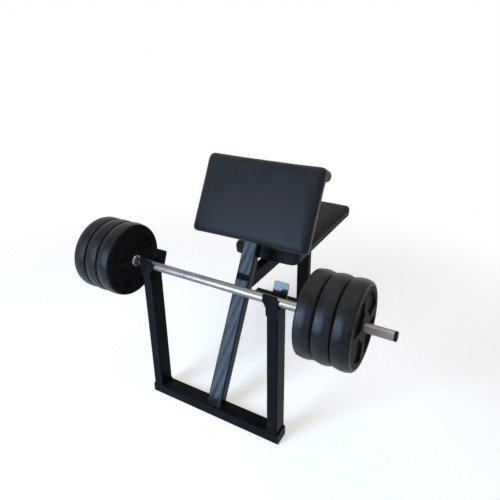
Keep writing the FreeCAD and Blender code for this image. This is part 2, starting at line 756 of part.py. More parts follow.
def seat():
    start = d.seat_front + d.board_rim
    size = (d.seat_width - 2 * d.board_rim, d.seat_length - 2 * d.board_rim)
    cut = d.seat_corner - d.board_rim
    rows = (d.seat_front + d.seat_strap_first, seat_end - d.seat_strap_last)
    across = (d.seat_strap_length, d.seat_bolt_spacing)
    pad_carrier("seat", ("front", "rear"), seat_frame, rows, *across, start, size, cut)
    seat_cushion(board_hollow(start, size, cut))


# The bar, its collars and end plugs, and the weight plates on it.


def bar():
    """Hollow bar, with a fixed collar inside each stack of plates and a plastic plug in each end."""
    where = along_x(1, d.bar_shift, bar_y, bar_z)
    tube_length = d.bar_length - 2 * d.bar_plug_flange
    body = new_body("bar_tube", where)
    section = sketch_on(body, "XY_Plane")
    circles(section, d.bar_radius)
    circles(section, d.bar_radius - d.bar_wall)
    pad(body, section, tube_length, "Symmetric")
    collars = new_body("bar_collars", where)
    plugs = new_body("bar_plugs", where)
    tube_end = tube_length / 2
    plug_end = tube_end + d.bar_plug_flange
    for sign in SIDES.values():
        inwards = sign < 0
        ring = sketch_on(collars, "XY_Plane", (ZERO, ZERO, sign * d.collar_place))
        circles(ring, d.collar_radius)
        circles(ring, d.bar_radius + d.collar_clearance)
        pad(collars, ring, d.collar_width, backwards=inwards)
        flange = sketch_on(plugs, "XY_Plane", (ZERO, ZERO, sign * tube_end))
        circles(flange, d.bar_radius)
        pad(plugs, flange, d.bar_plug_flange, backwards=inwards)
        inside = sketch_on(plugs, "XY_Plane", (ZERO, ZERO, sign * tube_end))
        circles(inside, d.bar_radius - d.bar_wall - d.bar_plug_clearance)
        pad(plugs, inside, d.bar_plug_inside, backwards=not inwards)
    bevel(collars, d.collar_edge, with_radius(d.collar_radius))
    bevel(plugs, d.bar_plug_edge, any_of(lying_at(z=plug_end), lying_at(z=-plug_end)))


def weight_plate(label, where):
    """Plate with a bevelled rim of many sides, and recesses between the spokes of its outer face."""
    body = new_body(label, where)
    outline = sketch_on(body, "XY_Plane")
    turns = [side * as_size(FULL_TURN) / PLATE_SIDES for side in range(PLATE_SIDES)]
    rim = d.plate_radius
    polygon(outline, [(rim * ratio("cos", turn), rim * ratio("sin", turn)) for turn in turns])
    circles(outline, d.bar_radius + d.plate_bore_clearance)
    pad(body, outline, d.plate_thick)
    bevel(body, d.plate_bevel, lambda edge: len(edge.Vertexes) == 2 and level(edge))
    half_spoke = d.plate_spoke_angle / 2
    face = sketch_on(body, "XY_Plane", (ZERO, ZERO, d.plate_thick))
    sector(face, d.plate_hub_radius, d.plate_recess_radius, half_spoke, QUARTER - half_spoke)
    recess = pocket(body, face, d.plate_recess)
    around(body, recess, (face, ["N_Axis"]), PLATE_SPOKES)


def weight_plates():
    for side, sign in SIDES.items():
        for index, name in enumerate(("inner", "middle", "outer")):
            where = along_x(sign, plate_start + index * plate_pitch + sign * d.bar_shift, bar_y, bar_z)
            weight_plate(f"{side}_{name}_plate", where)


floor_tubes()
uprights()
centre_post()
seat_beam()
rear_post()
arm_pad()
seat()
bar()
weight_plates()
doc.recompute()

for item in doc.Objects:
    if {"Invalid", "Error"} & set(item.State):
        raise RuntimeError(f"{item.Label} failed: {item.State}")
for label, piece in subparts.items():
    if piece.Shape.isNull() or not piece.Shape.isValid():
        raise RuntimeError(f"{label} has no valid shape")

os.makedirs("parts", exist_ok=True)
for label, piece in subparts.items():
    piece.Shape.exportStep(f"parts/{label}.step")
    print(f"{label}: {len(piece.Shape.Solids)} solid, {piece.Shape.Volume / 1000:.1f} cm3")
print(len(subparts), "sub-parts")
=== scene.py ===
# %% [markdown]
# # A preacher curl bench with its loaded bar
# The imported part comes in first, as a fixed frame in metres: X runs to the right along the bar,
# Y to the back and Z up, with the origin on the floor under the front base tube. Every piece made
# below is placed in that frame and rides on one of its bodies. Hard pieces that are right as they
# are only get a finish. Cushions, weight plates and the bar get finer shapes of their own.

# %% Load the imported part
import json
import math

import bmesh
import bpy
import numpy as np
from mathutils import Matrix, Vector
from mathutils.bvhtree import BVHTree
from mathutils.kdtree import KDTree


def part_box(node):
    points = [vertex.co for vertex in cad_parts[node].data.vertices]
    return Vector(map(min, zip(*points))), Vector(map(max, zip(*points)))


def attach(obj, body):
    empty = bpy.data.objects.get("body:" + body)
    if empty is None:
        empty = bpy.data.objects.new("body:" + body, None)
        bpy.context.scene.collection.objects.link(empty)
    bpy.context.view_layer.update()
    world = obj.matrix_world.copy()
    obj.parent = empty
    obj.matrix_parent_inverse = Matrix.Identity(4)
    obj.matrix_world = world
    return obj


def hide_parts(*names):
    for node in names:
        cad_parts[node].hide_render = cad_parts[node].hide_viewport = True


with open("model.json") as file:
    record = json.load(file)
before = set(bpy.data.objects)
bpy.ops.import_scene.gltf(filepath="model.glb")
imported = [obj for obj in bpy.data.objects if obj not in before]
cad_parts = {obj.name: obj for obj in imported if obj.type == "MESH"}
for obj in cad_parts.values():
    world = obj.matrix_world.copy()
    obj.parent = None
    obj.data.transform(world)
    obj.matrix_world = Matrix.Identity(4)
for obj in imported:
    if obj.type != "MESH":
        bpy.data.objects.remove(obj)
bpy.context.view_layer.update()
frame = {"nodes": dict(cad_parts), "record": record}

nodes = frame["nodes"]
MM = 0.001

# %% [markdown]
# ## Camera
# A photograph's view can be found by trying angles by eye, or by solving for the camera whose
# picture of known corners lands on the photograph. The second gives a place, a direction and a
# lens that fit the whole frame at once, so the numbers here are such a solution. Blender keeps a
# lens, lamp or mesh apart from the object that stands in the scene, so a helper makes that object.

# %% Camera at the photograph's view
PICTURE = 500  # pixels, both ways
FOCAL_PIXELS = 467.9
AXIS_PIXEL = (257.2, 220.4)  # where the lens's axis meets the picture
SENSOR = 36  # millimetres
EYE = Vector((0.8334, -1.1257, 1.3603))
AIM = Vector((0.0303, 0.2780, 0.6975))
CAMERA_ROLL = -0.009  # radians


def put(name, data):
    """Makes the object for a lens, lamp or mesh and puts it into the scene."""
    made = bpy.data.objects.new(name, data)
    bpy.context.scene.collection.objects.link(made)
    return made


lens = bpy.data.cameras.new("camera")
lens.sensor_width = SENSOR
lens.lens = FOCAL_PIXELS / PICTURE * SENSOR
lens.shift_x = (PICTURE / 2 - AXIS_PIXEL[0]) / PICTURE
lens.shift_y = (AXIS_PIXEL[1] - PICTURE / 2) / PICTURE
camera = put("camera", lens)
camera.rotation_mode = "QUATERNION"
camera.location = EYE
facing = (AIM - EYE).to_track_quat("-Z", "Y").to_matrix()
rolled = facing @ Matrix.Rotation(CAMERA_ROLL, 3, "Z")
camera.rotation_quaternion = rolled.to_quaternion()
bpy.context.scene.camera = camera
bpy.context.scene.view_settings.view_transform = "Standard"
print("lens", round(lens.lens, 2), "mm")

# %% [markdown]
# ## Node helpers
# Materials and Geometry Nodes are both trees of nodes. Written out by hand, each node takes four or
# five lines. One helper that adds a node, sets its options and joins its inputs keeps a tree short
# enough to read from top to bottom.

# %% Helpers for node trees


def add(tree, kind, inputs=(), out=0, **options):
    """Adds a node, sets its options, fills or joins its inputs, and returns one of its outputs."""
    made = tree.nodes.new(kind)
    for option, value in options.items():
        setattr(made, option, value)
    pairs = inputs.items() if isinstance(inputs, dict) else enumerate(inputs)
    for socket, value in pairs:
        if isinstance(value, bpy.types.NodeSocket):
            tree.links.new(value, made.inputs[socket])
        else:
            made.inputs[socket].default_value = value
    return made.outputs[out]


def sums(tree):
    """A short way to write the tree's math nodes."""
    return lambda what, *values: add(tree, "ShaderNodeMath", values, operation=what)


def ramp(tree, value, low, high, start=0.0, end=1.0, smooth=False):
    """Maps a value from low..high to start..end, held at both ends."""
    kind = "SMOOTHSTEP" if smooth else "LINEAR"
    return add(tree, "ShaderNodeMapRange", (value, low, high, start, end), interpolation_type=kind)


# %% [markdown]
# ## Finishes
# A finish is colour, gloss and a fine relief. Pictures wrapped round a piece could give all three,
# but they need seams and stretch. Each finish below reads the object's own coordinates, in metres,
# so its grain has a real size on every piece. What is the same all over is set on the shader
# itself. What changes over the surface, such as dust, grain and wear, comes from noise.

# %% A base for every finish
LOW_INDEX = 1.2  # a lower index than real paint's, which keeps black surfaces black at a slant


def finish(name, colour, rough, metallic=0.0, shine=0.5, index=LOW_INDEX):
    """A material with its constant values set, ready for its patterns."""
    material = bpy.data.materials.new(name)
    material.use_nodes = True
    tree = material.node_tree
    shader = tree.nodes["Principled BSDF"]
    shader.inputs["Base Color"].default_value = (*colour, 1)
    shader.inputs["Roughness"].default_value = rough
    shader.inputs["Metallic"].default_value = metallic
    shader.inputs["Specular IOR Level"].default_value = shine
    shader.inputs["IOR"].default_value = index
    place = add(tree, "ShaderNodeTexCoord", out="Object")
    return material, tree, shader, place


def noise(tree, place, scale, detail=2.0, roughness=0.5, stretch=None):
    """Noise whose grain is 1 / scale metres, stretched where a finish runs one way."""
    if stretch:
        place = add(tree, "ShaderNodeMapping", {"Vector": place, "Scale": stretch})
    settings = {"Vector": place, "Scale": scale, "Detail": detail, "Roughness": roughness}
    return add(tree, "ShaderNodeTexNoise", settings)


def blend(tree, first, first_share, second, second_share):
    """Adds two patterns, each in its own share."""
    do = sums(tree)
    return do("ADD", do("MULTIPLY", first, first_share), do("MULTIPLY", second, second_share))


def tint(tree, shader, pattern, span, dark, light):
    """Colours a surface by a pattern: dark below the span and light above it."""
    # Sockets 6 and 7 are the Mix node's two colours, and output 2 is the mixed one.
    inputs = {"Factor": ramp(tree, pattern, *span), 6: (*dark, 1), 7: (*light, 1)}
    colour = add(tree, "ShaderNodeMix", inputs, out=2, data_type="RGBA")
    tree.links.new(colour, shader.inputs["Base Color"])


def wear(tree, shader, pattern, span, least, most):
    """Roughens a surface by a pattern: least below the span and most above it."""
    tree.links.new(ramp(tree, pattern, *span, least, most), shader.inputs["Roughness"])


def relief(tree, shader, height, depth, strength):
    """Turns a height of 0 to 1 into a bump of a depth in metres."""
    inputs = {"Strength": strength, "Distance": depth, "Height": height}
    tree.links.new(add(tree, "ShaderNodeBump", inputs), shader.inputs["Normal"])


# %% [markdown]
# The frame is powder coated: the powder melts into a satin skin with a faint orange peel. Scuffs
# and dust change its gloss more than its colour, so one noise drives both. The post and the guide
# plates are smoother and reflect the window, so they get the same coat with more shine.

# %% Powder coat
COAT_TONES = (0.0065, 0.0068, 0.0072), (0.0120, 0.0124, 0.0130)
PEEL_DEPTH = 0.05 * MM
SMOOTH_PEEL_DEPTH = 0.006 * MM


def powder_coat(name, rough, shine, index=LOW_INDEX, peel_depth=PEEL_DEPTH):
    """Black coat with a fine orange peel and scuffs a few centimetres wide."""
    dark, light = COAT_TONES
    material, tree, shader, place = finish(name, dark, rough, shine=shine, index=index)
    peel = noise(tree, place, scale=420, detail=3)
    scuffs = noise(tree, place, scale=26, detail=6, roughness=0.65)
    tint(tree, shader, scuffs, (0.35, 0.75), dark, light)
    wear(tree, shader, scuffs, (0.3, 0.8), rough * 0.75, rough * 1.5)
    relief(tree, shader, peel, peel_depth, strength=0.3)
    return material


COAT = powder_coat("powder_coat", rough=0.15, shine=0.11)
POST_COAT = powder_coat("post_enamel", rough=0.06, shine=0.45, peel_depth=SMOOTH_PEEL_DEPTH)
GUIDE_COAT = powder_coat("guide_enamel", rough=0.12, shine=0.5, index=1.42)
print(COAT.name, POST_COAT.name, GUIDE_COAT.name)

# %% [markdown]
# The pads are covered in leatherette, a vinyl skin pressed with a pebbled grain. Cells of about
# two millimetres give the pebbles, and a broad noise keeps the sheen from looking like plastic.
# Arms have rubbed the sloping pad smoother than the seat, so each has a finish of its own. The hem
# behind the pads is the dull back of the same vinyl.

# %% Leatherette


def leatherette(name, dark, light, rough, shine):
    """Vinyl with a pebbled grain and a sheen that changes slowly."""
    material, tree, shader, place = finish(name, light, rough, shine=shine)
    uneven = noise(tree, place, scale=190, detail=2)
    cells = {"Vector": place, "Scale": 560.0, "Randomness": 0.9}
    pebbles = add(tree, "ShaderNodeTexVoronoi", cells, feature="F1")
    broad = noise(tree, place, scale=9, detail=4, roughness=0.6)
    tint(tree, shader, broad, (0.3, 0.7), dark, light)
    wear(tree, shader, broad, (0.25, 0.75), rough - 0.05, rough + 0.07)
    grain = blend(tree, pebbles, 0.7, uneven, 0.5)
    relief(tree, shader, grain, 0.5 * MM, strength=0.8)
    return material


ARM_COVER = leatherette(
    "arm_pad_leatherette",
    dark=(0.0158, 0.0155, 0.0155),
    light=(0.0212, 0.0206, 0.0209),
    rough=0.34,
    shine=0.42,
)
SEAT_COVER = leatherette(
    "seat_leatherette",
    dark=(0.0215, 0.0212, 0.0216),
    light=(0.0285, 0.0280, 0.0290),
    rough=0.40,
    shine=0.12,
)
HEM = leatherette(
    "leatherette_hem",
    dark=(0.007, 0.007, 0.007),
    light=(0.011, 0.011, 0.011),
    rough=0.6,
    shine=0.12,
)
print(ARM_COVER.name, SEAT_COVER.name, HEM.name)

# %% [markdown]
# The weight plates are black moulded plastic. The mould leaves a fine matt texture on the faces,
# rolling on the floor polishes the rims, and handling leaves paler rubbed patches. Two finishes of
# one kind on each plate are simpler than one finish that asks where it is.

# %% Moulded plastic


def moulded(name, dark, light, rough, shine):
    """Black plastic with a fine matt texture and paler rubbed patches."""
    material, tree, shader, place = finish(name, dark, rough, shine=shine)
    rubbed = noise(tree, place, scale=30, detail=6, roughness=0.62)
    fine = noise(tree, place, scale=900, detail=3, roughness=0.6)
    tint(tree, shader, rubbed, (0.38, 0.72), dark, light)
    wear(tree, shader, rubbed, (0.3, 0.7), rough - 0.10, rough + 0.12)
    relief(tree, shader, fine, 0.18 * MM, strength=0.5)
    return material


RIM_PLASTIC = moulded(
    "plate_rim",
    dark=(0.0030, 0.0030, 0.0030),
    light=(0.0150, 0.0150, 0.0147),
    rough=0.36,
    shine=0.78,
)
FACE_PLASTIC = moulded(
    "plate_face",
    dark=(0.0100, 0.0100, 0.0100),
    light=(0.0270, 0.0270, 0.0265),
    rough=0.46,
    shine=0.08,
)
CAP_PLASTIC = moulded(
    "cap_plastic",
    dark=(0.006, 0.006, 0.006),
    light=(0.011, 0.011, 0.011),
    rough=0.40,
    shine=0.3,
)
print(RIM_PLASTIC.name, FACE_PLASTIC.name, CAP_PLASTIC.name)

# %% [markdown]
# The bar is drawn steel with a satin plating. Drawing leaves fine lines along the bar, and turning
# leaves rings round the collars. Both come from one noise, stretched one way or the other. Bolts
# and staples are zinc plated, with a grain that is the same in every direction.

# %% Steel
DRAWN = (30, 1500, 1500)
TURNED = (3000, 60, 60)
PLAIN = (700, 700, 700)


def steel(name, dark, light, rough, stretch):
    """Plated steel with fine lines that run as the stretch says, and smudges."""
    material, tree, shader, place = finish(name, light, rough, metallic=1.0)
    lines = noise(tree, place, scale=1.0, detail=4, roughness=0.6, stretch=stretch)
    smudges = noise(tree, place, scale=22, detail=5, roughness=0.6)
    tint(tree, shader, smudges, (0.3, 0.75), dark, light)
    wear(tree, shader, lines, (0.2, 0.8), rough - 0.07, rough + 0.09)
    relief(tree, shader, lines, 0.008 * MM, strength=0.2)
    return material


BAR_STEEL = steel("bar_steel", (0.165, 0.150, 0.140), (0.245, 0.229, 0.220), 0.35, DRAWN)
RING_STEEL = steel("ring_steel", (0.52, 0.51, 0.50), (0.68, 0.67, 0.66), 0.22, TURNED)
ZINC = steel("zinc", (0.50, 0.50, 0.49), (0.66, 0.66, 0.67), 0.36, PLAIN)
print(BAR_STEEL.name, RING_STEEL.name, ZINC.name)

# %% [markdown]
# The boards inside the pads are plywood. Rings of a log, cut almost along the grain, give long
# uneven bands, and a finer noise gives the fibres. Blender's wave texture would draw the bands too
# evenly, so both are stretched noise.

# %% Plywood


def plywood(dark, light):
    """Plain wood with long bands and fine fibres along X."""
    material, tree, shader, place = finish("plywood", light, rough=0.62, shine=0.3)
    bands = noise(tree, place, scale=1.0, detail=5, roughness=0.6, stretch=(7, 60, 60))
    fibres = noise(tree, place, scale=1.0, detail=4, roughness=0.7, stretch=(40, 900, 900))
    tint(tree, shader, blend(tree, bands, 0.7, fibres, 0.3), (0.3, 0.7), dark, light)
    relief(tree, shader, fibres, 0.2 * MM, strength=0.4)
    return material


PLY = plywood(dark=(0.34, 0.22, 0.12), light=(0.60, 0.45, 0.29))
print(len(bpy.data.materials), "materials")

# %% [markdown]
# ## Finishes on the pieces that stay
# Tubes, plates of the rests, straps, caps, bolts and boards already have the right shape, so they
# keep it and only change their material. The record names a kind of material for each, and that
# picks its finish.

# %% Dress the hard pieces
SLOT_FINISH = {"frame": COAT, "end_cap": CAP_PLASTIC, "board": PLY, "bolt": ZINC}
OWN_FINISH = {
    "left_guide_plate": GUIDE_COAT,
    "right_guide_plate": GUIDE_COAT,
    "centre_post": POST_COAT,
}
for subpart in frame["record"]["subparts"]:
    chosen = OWN_FINISH.get(subpart["node"]) or SLOT_FINISH.get(subpart["material_slot"])
    if chosen:
        own = nodes[subpart["node"]].data.materials
        own.clear()
        own.append(chosen)
        print(subpart["node"], chosen.name)

# %% [markdown]
# ## Turned and moulded round pieces
# The bar, its collars and plugs, and the weight plates are all half sections turned round the bar's
# axis. A lathe could be a Screw modifier, but the plates also need four recesses between spokes. A
# node tree does both by rule: it samples the section's points round a circle, then sinks the face
# between the spokes. Its inputs carry the sizes, so one tree serves every round piece.

# %% Both ends of a node tree


def inputs_of(tree, wanted):
    """Adds named inputs with their defaults, and returns them as sockets of the input node."""
    tree.interface.new_socket("Geometry", in_out="INPUT", socket_type="NodeSocketGeometry")
    for name, (kind, value) in wanted.items():
        socket = tree.interface.new_socket(name, in_out="INPUT", socket_type=f"NodeSocket{kind}")
        if value is not None:
            socket.default_value = value
    tree.interface.new_socket("Geometry", in_out="OUTPUT", socket_type="NodeSocketGeometry")
    return tree.nodes.new("NodeGroupInput").outputs


def close_tree(tree, geometry, material):
    """Every tree ends in real meshes with a material."""
    real = add(tree, "GeometryNodeRealizeInstances", {"Geometry": geometry})
    dressed = add(tree, "GeometryNodeSetMaterial", {"Geometry": real, "Material": material})
    tree.links.new(dressed, tree.nodes.new("NodeGroupOutput").inputs[0])


# %% [markdown]
# The tree starts from a flat grid with one column for each step of the turn and one point in it for
# each point of the section. Every point looks up its section point and goes to that radius, at the
# angle of its column. The first and last column meet, and merging them closes the ring.

# %% A tree that turns a half section and sinks recesses
SPOKES = 4.0
SPOKE_ANGLE = math.radians(22)
MERGE_GAP = 0.01 * MM
TURNING_INPUTS = {
    "Section Points": ("Int", 8),
    "Segments": ("Int", 96),
    "Recess": ("Float", 0.0),
    "Hub Radius": ("Float", 44 * MM),
    "Recess Radius": ("Float", 102 * MM),
    "Spokes": ("Float", SPOKES),
    "Spoke Angle": ("Float", SPOKE_ANGLE),
    "Ease": ("Float", 4 * MM),
    "Material": ("Material", None),
}


def turning_tree():
    """Turns a chain of points (along the axis, mark, radius) round X, and sinks marked points."""
    tree = bpy.data.node_groups.new("turned_piece", "GeometryNodeTree")
    given = inputs_of(tree, TURNING_INPUTS)
    do = sums(tree)

    def eased(value):
        return ramp(tree, value, 0.0, given["Ease"], smooth=True)

    around = do("ADD", given["Segments"], 1)
    grid = add(tree, "GeometryNodeMeshGrid", (1.0, 1.0, around, given["Section Points"]))
    index = add(tree, "GeometryNodeInputIndex")
    # Half a point more keeps the division clear of rounding.
    column = do("FLOOR", do("DIVIDE", do("ADD", index, 0.5), given["Section Points"]))
    along = do("SUBTRACT", index, do("MULTIPLY", column, given["Section Points"]))
    spot = add(tree, "GeometryNodeInputPosition")
    section = {"Geometry": given["Geometry"], "Value": spot, "Index": along}
    point = add(tree, "GeometryNodeSampleIndex", section, data_type="FLOAT_VECTOR")
    axial, mark, radius = add(tree, "ShaderNodeSeparateXYZ", (point,)).node.outputs
    angle = do("MULTIPLY", do("DIVIDE", column, given["Segments"]), math.tau)

    half = do("DIVIDE", do("DIVIDE", math.tau, given["Spokes"]), 2)
    from_spoke = do("ABSOLUTE", do("WRAP", angle, half, do("MULTIPLY", half, -1)))
    past_spoke = do("SUBTRACT", from_spoke, do("DIVIDE", given["Spoke Angle"], 2))
    clear = eased(do("MULTIPLY", past_spoke, radius))
    past_hub = eased(do("SUBTRACT", radius, given["Hub Radius"]))
    before_rim = eased(do("SUBTRACT", given["Recess Radius"], radius))
    share = do("MULTIPLY", do("MULTIPLY", clear, past_hub), before_rim)
    sink = do("MULTIPLY", do("MULTIPLY", share, mark), given["Recess"])

    x = do("SUBTRACT", axial, sink)
    y = do("MULTIPLY", radius, do("COSINE", angle))
    z = do("MULTIPLY", radius, do("SINE", angle))
    place = add(tree, "ShaderNodeCombineXYZ", (x, y, z))
    bent = add(tree, "GeometryNodeSetPosition", {"Geometry": grid, "Position": place})
    whole = add(tree, "GeometryNodeMergeByDistance", {"Geometry": bent, "Distance": MERGE_GAP})
    close_tree(tree, whole, given["Material"])
    return tree


TURNING = turning_tree()
print(TURNING.name, len(TURNING.nodes), "nodes")

# %% [markdown]
# A tree is live: it runs again whenever Blender asks for the object. A finished piece is a plain
# mesh, so the result is taken out once and the modifier goes away with its source. A section or a
# path goes in as a mesh of edges, which is the simplest thing that holds a row of points.

# %% From a tree to a plain piece
DOUBLE_GAP = 0.001 * MM


def plain(source, name):
    """What an object's modifiers make of it, as an object without any. The source goes away."""
    seen = bpy.context.evaluated_depsgraph_get()
    made = bpy.data.meshes.new_from_object(source.evaluated_get(seen), depsgraph=seen)
    bpy.data.objects.remove(source)
    made.name = name
    return put(name, made)


def from_tree(name, tree, mesh, **sizes):
    """Runs a tree on a mesh and returns the plain object that it makes."""
    source = put("source", mesh)
    run = source.modifiers.new("make", "NODES")
    run.node_group = tree
    sockets = {s.name: s.identifier for s in tree.interface.items_tree if s.in_out == "INPUT"}
    for socket, value in sizes.items():
        run[sockets[socket.replace("_", " ")]] = value
    return plain(source, name)


def point_outwards(piece, sharp=35):
    """Merges doubles, turns every face outwards and shades smooth up to a sharp angle."""
    form = bmesh.new()
    form.from_mesh(piece.data)
    bmesh.ops.remove_doubles(form, verts=form.verts, dist=DOUBLE_GAP)
    bmesh.ops.recalc_face_normals(form, faces=form.faces)
    form.to_mesh(piece.data)
    form.free()
    piece.data.shade_smooth()
    piece.data.set_sharp_from_angle(angle=math.radians(sharp))


def lines_mesh(name, paths, closed=True):
    """A mesh of edges only, one chain for each path."""
    points, edges = [], []
    for path in paths:
        first, count = len(points), len(path)
        points += [tuple(p) for p in path]
        links = count if closed else count - 1
        edges += [(first + i, first + (i + 1) % count) for i in range(links)]
    mesh = bpy.data.meshes.new(name)
    mesh.from_pydata(points, edges, [])
    return mesh


def settle(piece, where, body, slot, *replaced):
    """Moves a finished mesh to its place, hangs it on the body that it rides on and hides the nodes
    that it replaces.
    """
    piece.data.transform(where)
    if where.determinant() < 0:
        piece.data.flip_normals()
    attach(piece, body)
    if replaced:
        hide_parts(*replaced)
    print(piece.name, len(piece.data.polygons), "faces")


# %% [markdown]
# ## Weight plates
# Each plate is a thick disc with a full, round rim, a flat ring, four recesses between its spokes
# and a hub. The three on a side nearly touch, so only dark grooves show between the rims. Cutting
# the recesses out with a Boolean would leave rough edges. Here the section has close points where a
# recess begins, so its walls stay crisp. A mark says which points sink: 1 on the outer face, and -1
# on the inner face, which sinks the other way.

# %% Section of a plate
PLATE_R = 136 * MM
BORE_R = 15.5 * MM
BORE_EDGE = 1.2 * MM
INNER_ROUND = 7 * MM
OUTER_ROUND = 13 * MM
RIM_CROWN = 2.4 * MM
CROWN_SHARES = (0.36, 0.5, 0.64)
HUB_R, RECESS_R = 43 * MM, 105 * MM
RECESS_EASE = 2.6 * MM
WALL_STEPS = (1.6, 1.2, 0.8, 0.4, 0, -0.4, -0.8, -1.2, -1.6)
FLOOR_SHARES = (0.2, 0.35, 0.5, 0.65, 0.8)


def arc(centre, radius, start, end, count=8):
    """Points on an arc, from one angle to another in degrees: along the axis, then outwards."""
    made = []
    for i in range(count + 1):
        t = math.radians(start + (end - start) * i / count)
        made.append((centre[0] + radius * math.cos(t), centre[1] + radius * math.sin(t)))
    return made


def plate_section(thick):
    """Half section of a plate whose inner face lies at 0, and the mark of each of its points."""
    top_r = PLATE_R - RIM_CROWN
    near_r, flat_r = top_r - INNER_ROUND, top_r - OUTER_ROUND
    near = [(0.0, near_r), *arc((INNER_ROUND, near_r), INNER_ROUND, 180, 90)]
    crown = [(thick * s, PLATE_R - RIM_CROWN * (2 * s - 1) ** 2) for s in CROWN_SHARES]
    far = [*arc((thick - OUTER_ROUND, flat_r), OUTER_ROUND, 90, 0), (thick, flat_r)]
    rim = near + crown + far
    radii = [r + RECESS_EASE * step for r in (HUB_R, RECESS_R) for step in WALL_STEPS]
    radii += [HUB_R + (RECESS_R - HUB_R) * share for share in FLOOR_SHARES]
    radii = sorted(r for r in radii if r < flat_r - BORE_EDGE)
    face = [(thick, r) for r in reversed(radii)]
    bore = [(thick, BORE_R + BORE_EDGE), (thick - BORE_EDGE, BORE_R)]
    bore += [(BORE_EDGE, BORE_R), (0.0, BORE_R + BORE_EDGE)]
    back = [(0.0, r) for r in radii]
    marks = [0.0] * len(rim) + [1.0] * len(face) + [0.0] * len(bore) + [-1.0] * len(back)
    return rim + face + bore + back, marks


def turned(name, section, marks=None, segments=96, **sizes):
    """Turns a closed section round the X axis."""
    marks = marks or [0.0] * len(section)
    chain = [(x, mark, r) for (x, r), mark in zip(section, marks)]
    chain.append(chain[0])
    mesh = lines_mesh("section", [chain], closed=False)
    piece = from_tree(name, TURNING, mesh, Section_Points=len(chain), Segments=segments, **sizes)
    point_outwards(piece)
    return piece


# %% [markdown]
# The plates of the left side are the mirror image of those on the right, because the larger round
# of the rim is on the outer side of both. A mirrored mesh is inside out, so settle turns its faces
# round again. The rim and the faces inside it get their own finishes, face by face.

# %% Six plates
SIDES = (("left", -1), ("right", 1))
FACE_R = 119 * MM
PLATE_SEGMENTS = 256
PLATE_SIZES = {
    "Recess": 8 * MM,
    "Hub_Radius": HUB_R,
    "Recess_Radius": RECESS_R,
    "Spokes": SPOKES,
    "Spoke_Angle": SPOKE_ANGLE,
    "Ease": RECESS_EASE,
    "Material": RIM_PLASTIC,
}

for side, sign in SIDES:
    for spot in ("inner", "middle", "outer"):
        node = f"{side}_{spot}_plate"
        low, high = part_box(node)
        section, marks = plate_section(high.x - low.x)
        plate = turned(f"{node}_shell", section, marks, PLATE_SEGMENTS, **PLATE_SIZES)
        plate.data.materials.clear()
        plate.data.materials.append(RIM_PLASTIC)
        plate.data.materials.append(FACE_PLASTIC)
        for face in plate.data.polygons:
            face.material_index = int(math.hypot(face.center.y, face.center.z) < FACE_R)
        inner_face = low.x if sign > 0 else high.x
        hub = Vector((inner_face, (low.y + high.y) / 2, (low.z + high.z) / 2))
        where = Matrix.Translation(hub) @ Matrix.Diagonal((sign, 1, 1, 1))
        settle(plate, where, node, "plate", node)

# %% [markdown]
# ## Bar
# The bar is a plain steel tube with a collar inside each stack of plates and a plastic plug in each
# end. Cylinders with bevels would do, but the lathe is already there, and it gives a rounder
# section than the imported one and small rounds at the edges.

# %% Bar, collars and plugs
BAR_WALL = 3 * MM
BAR_EDGE = 0.6 * MM
RING_WIDTH = 14 * MM
RING_PLAY = 0.05 * MM
RING_EDGE = 2 * MM
PLUG_CORE = 0.2 * MM
PLUG_EDGE = 2.5 * MM


def ring(x0, x1, inner, outer, edge):
    """Section of a ring from x0 to x1 with rounded outer edges."""
    left = arc((x0 + edge, outer - edge), edge, 180, 90, count=4)
    right = arc((x1 - edge, outer - edge), edge, 90, 0, count=4)
    return [(x0, inner), *left, *right, (x1, inner)]


def on_bar(name, sections, material, segments=96):
    """Several turned rings on the bar as one piece."""
    made = [turned(name, section, segments=segments, Material=material) for section in sections]
    form = bmesh.new()
    for piece in made:
        form.from_mesh(piece.data)
    form.to_mesh(made[0].data)
    form.free()
    for piece in made[1:]:
        bpy.data.objects.remove(piece)
    return made[0]


tube_low, tube_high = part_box("bar_tube")
plug_low, plug_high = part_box("bar_plugs")
ring_low, ring_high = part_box("bar_collars")
bar_r = (tube_high.z - tube_low.z) / 2
ring_r = (ring_high.z - ring_low.z) / 2
axis = Matrix.Translation((0, (tube_low.y + tube_high.y) / 2, (tube_low.z + tube_high.z) / 2))

tube = [ring(tube_low.x, tube_high.x, bar_r - BAR_WALL, bar_r, BAR_EDGE)]
settle(on_bar("bar_steel_tube", tube, BAR_STEEL), axis, "barbell", "bar", "bar_tube")
rings = [
    ring(ring_low.x, ring_low.x + RING_WIDTH, bar_r + RING_PLAY, ring_r, RING_EDGE),
    ring(ring_high.x - RING_WIDTH, ring_high.x, bar_r + RING_PLAY, ring_r, RING_EDGE),
]
settle(on_bar("bar_collar_rings", rings, RING_STEEL), axis, "barbell", "bar", "bar_collars")
plugs = [
    ring(plug_low.x, tube_low.x, PLUG_CORE, bar_r, PLUG_EDGE),
    ring(tube_high.x, plug_high.x, PLUG_CORE, bar_r, PLUG_EDGE),
]
end_plugs = on_bar("bar_end_plugs", plugs, CAP_PLASTIC, segments=64)
settle(end_plugs, axis, "barbell", "end_cap", "bar_plugs")

# %% [markdown]
# ## Cushions
# A pad is foam on a board under a stretched cover. A box with rounded edges would look like a
# block, so each packed cushion is copied, takes an even net and is blown up a little as cloth. The
# net is made in the pad's own frame, where the faces lie along the axes, because a net that is
# turned against them leaves ripples. In that frame X runs along the bar, Y along the pad and Z out
# of its padded face, and Z is 0 where the straps lie on the tube.

# %% Frames of the two pads
POST_FRONT = -19 * MM
BASE_TOP = 40 * MM
BEAM_TOP = 478 * MM
PAD_SLOPE = math.radians(62)
ARM_PAD = Matrix.Translation((0, POST_FRONT, BASE_TOP)) @ Matrix.Rotation(PAD_SLOPE, 4, "X")
SEAT = Matrix.Translation((0, 0, BEAM_TOP))


